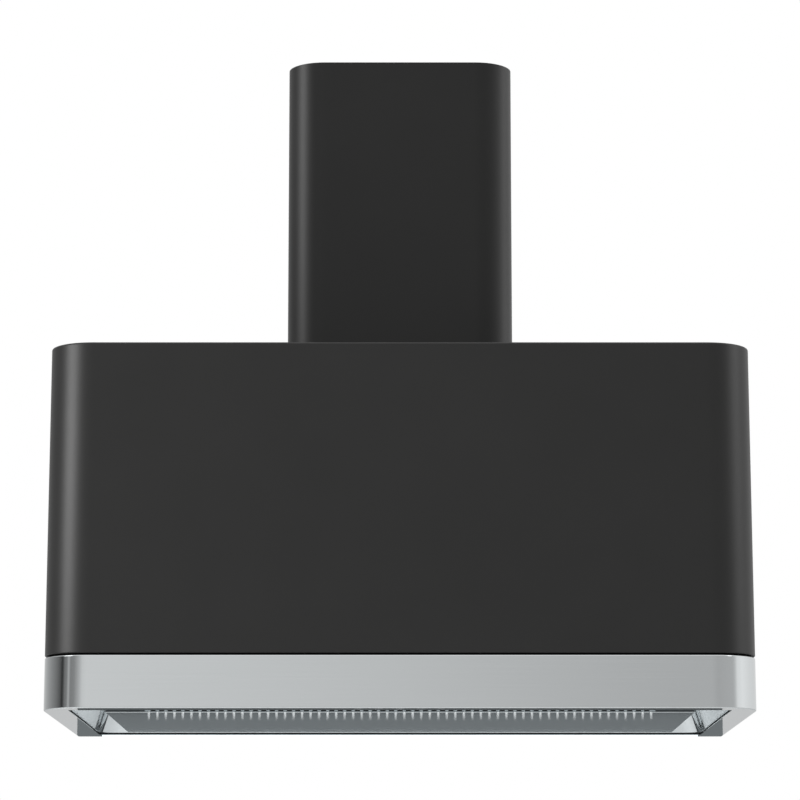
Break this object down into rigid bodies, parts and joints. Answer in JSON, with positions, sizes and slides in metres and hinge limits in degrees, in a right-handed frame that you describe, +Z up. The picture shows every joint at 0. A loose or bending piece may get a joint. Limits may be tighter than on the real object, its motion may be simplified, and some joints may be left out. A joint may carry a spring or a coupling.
{
  "type": "chimney range hood",
  "caption": "Wall-mounted chimney range hood with a flared rounded canopy, steel rim band, hinged suction panel, filters, blower and telescopic chimney.",
  "frame": {"origin": "on the wall plane, midway between the two hanging holes of the back panel", "axes": "+X to the right seen from the room, +Y into the wall, +Z up"},
  "size_m": [0.9, 0.5, 0.895],
  "materials": {
    "black_paint": "satin anthracite powder coat",
    "polished_steel": "polished stainless steel",
    "satin_steel": "satin stainless steel",
    "brushed_steel": "brushed stainless steel",
    "filter_steel": "pressed stainless steel",
    "bright_steel": "bright plated steel",
    "galvanised": "galvanised sheet",
    "black_rubber": "matt sealing strip",
    "black_plastic": "moulded",
    "grey_plastic": "moulded",
    "white_plastic": "moulded",
    "circuit_board": "lacquered board",
    "lamp_lens": "frosted"
  },
  "bodies": {
    "canopy": {"hood_shell": "black_paint", "back_panel": "galvanised", "rim_band": "polished_steel", "seam_spacer": "black_rubber", "lining": "satin_steel", "filter_deck": "galvanised", "filter_left": "filter_steel", "filter_centre": "filter_steel", "filter_right": "filter_steel", "hinge_bracket_left": "galvanised", "hinge_bracket_right": "galvanised", "hinge_pin_left": "bright_steel", "hinge_pin_right": "bright_steel", "magnet_left": "black_plastic", "magnet_right": "black_plastic", "control_housing": "black_plastic", "control_board": "circuit_board", "lamp_housing": "galvanised", "lamp_board": "circuit_board", "lamp_lens": "lamp_lens", "blower_housing": "galvanised", "inlet_ring_left": "grey_plastic", "inlet_ring_right": "grey_plastic", "motor_bracket": "galvanised", "motor": "bright_steel", "outlet_spigot": "black_plastic", "flap_rod": "bright_steel", "electronics_box": "grey_plastic", "electronics_cover": "grey_plastic", "terminal_block": "white_plastic", "cable_gland": "black_plastic", "chimney_lower": "black_paint", "chimney_bracket": "galvanised", "deck_screws": "bright_steel", "bracket_screws": "bright_steel", "motor_screws": "bright_steel", "spigot_screws": "bright_steel"},
    "panel": {"suction_panel": "brushed_steel"},
    "impeller": {"impeller": "grey_plastic"},
    "flap_front": {"flap_front": "grey_plastic"},
    "flap_rear": {"flap_rear": "grey_plastic"},
    "chimney_top": {"chimney_upper": "black_paint"},
    "button_1": {"button_1": "bright_steel"},
    "button_2": {"button_2": "bright_steel"},
    "button_3": {"button_3": "bright_steel"},
    "button_4": {"button_4": "bright_steel"},
    "button_5": {"button_5": "bright_steel"},
    "latch_left": {"latch_left": "black_plastic"},
    "latch_centre": {"latch_centre": "black_plastic"},
    "latch_right": {"latch_right": "black_plastic"}
  },
  "joints": [
    {"name": "panel_hinge", "type": "hinge", "parent": "canopy", "child": "panel", "pos_m": [0, -0.063, -0.367], "axis": [1, 0, 0], "range_deg": [0, 80]},
    {"name": "impeller_spin", "type": "hinge", "parent": "canopy", "child": "impeller", "pos_m": [0, -0.14, -0.132], "axis": [1, 0, 0], "continuous": true},
    {"name": "flap_front_swing", "type": "hinge", "parent": "canopy", "child": "flap_front", "pos_m": [0, -0.14, 0.1], "axis": [-1, 0, 0], "range_deg": [0, 76]},
    {"name": "flap_rear_swing", "type": "hinge", "parent": "canopy", "child": "flap_rear", "pos_m": [0, -0.14, 0.1], "axis": [1, 0, 0], "range_deg": [0, 76]},
    {"name": "chimney_slide", "type": "slide", "parent": "canopy", "child": "chimney_top", "axis": [0, 0, 1], "range_m": [0, 0.33]},
    {"name": "button_1_press", "type": "slide", "parent": "canopy", "child": "button_1", "axis": [0, 0, 1], "range_m": [0, 0.0015], "stiffness_N_per_m": 400, "springref_m": -0.002},
    {"name": "button_2_press", "type": "slide", "parent": "canopy", "child": "button_2", "axis": [0, 0, 1], "range_m": [0, 0.0015], "stiffness_N_per_m": 400, "springref_m": -0.002},
    {"name": "button_3_press", "type": "slide", "parent": "canopy", "child": "button_3", "axis": [0, 0, 1], "range_m": [0, 0.0015], "stiffness_N_per_m": 400, "springref_m": -0.002},
    {"name": "button_4_press", "type": "slide", "parent": "canopy", "child": "button_4", "axis": [0, 0, 1], "range_m": [0, 0.0015], "stiffness_N_per_m": 400, "springref_m": -0.002},
    {"name": "button_5_press", "type": "slide", "parent": "canopy", "child": "button_5", "axis": [0, 0, 1], "range_m": [0, 0.0015], "stiffness_N_per_m": 400, "springref_m": -0.002},
    {"name": "latch_left_slide", "type": "slide", "parent": "canopy", "child": "latch_left", "axis": [0, 1, 0], "range_m": [0, 0.006], "stiffness_N_per_m": 300, "springref_m": -0.004},
    {"name": "latch_centre_slide", "type": "slide", "parent": "canopy", "child": "latch_centre", "axis": [0, 1, 0], "range_m": [0, 0.006], "stiffness_N_per_m": 300, "springref_m": -0.004},
    {"name": "latch_right_slide", "type": "slide", "parent": "canopy", "child": "latch_right", "axis": [0, 1, 0], "range_m": [0, 0.006], "stiffness_N_per_m": 300, "springref_m": -0.004}
  ]
}
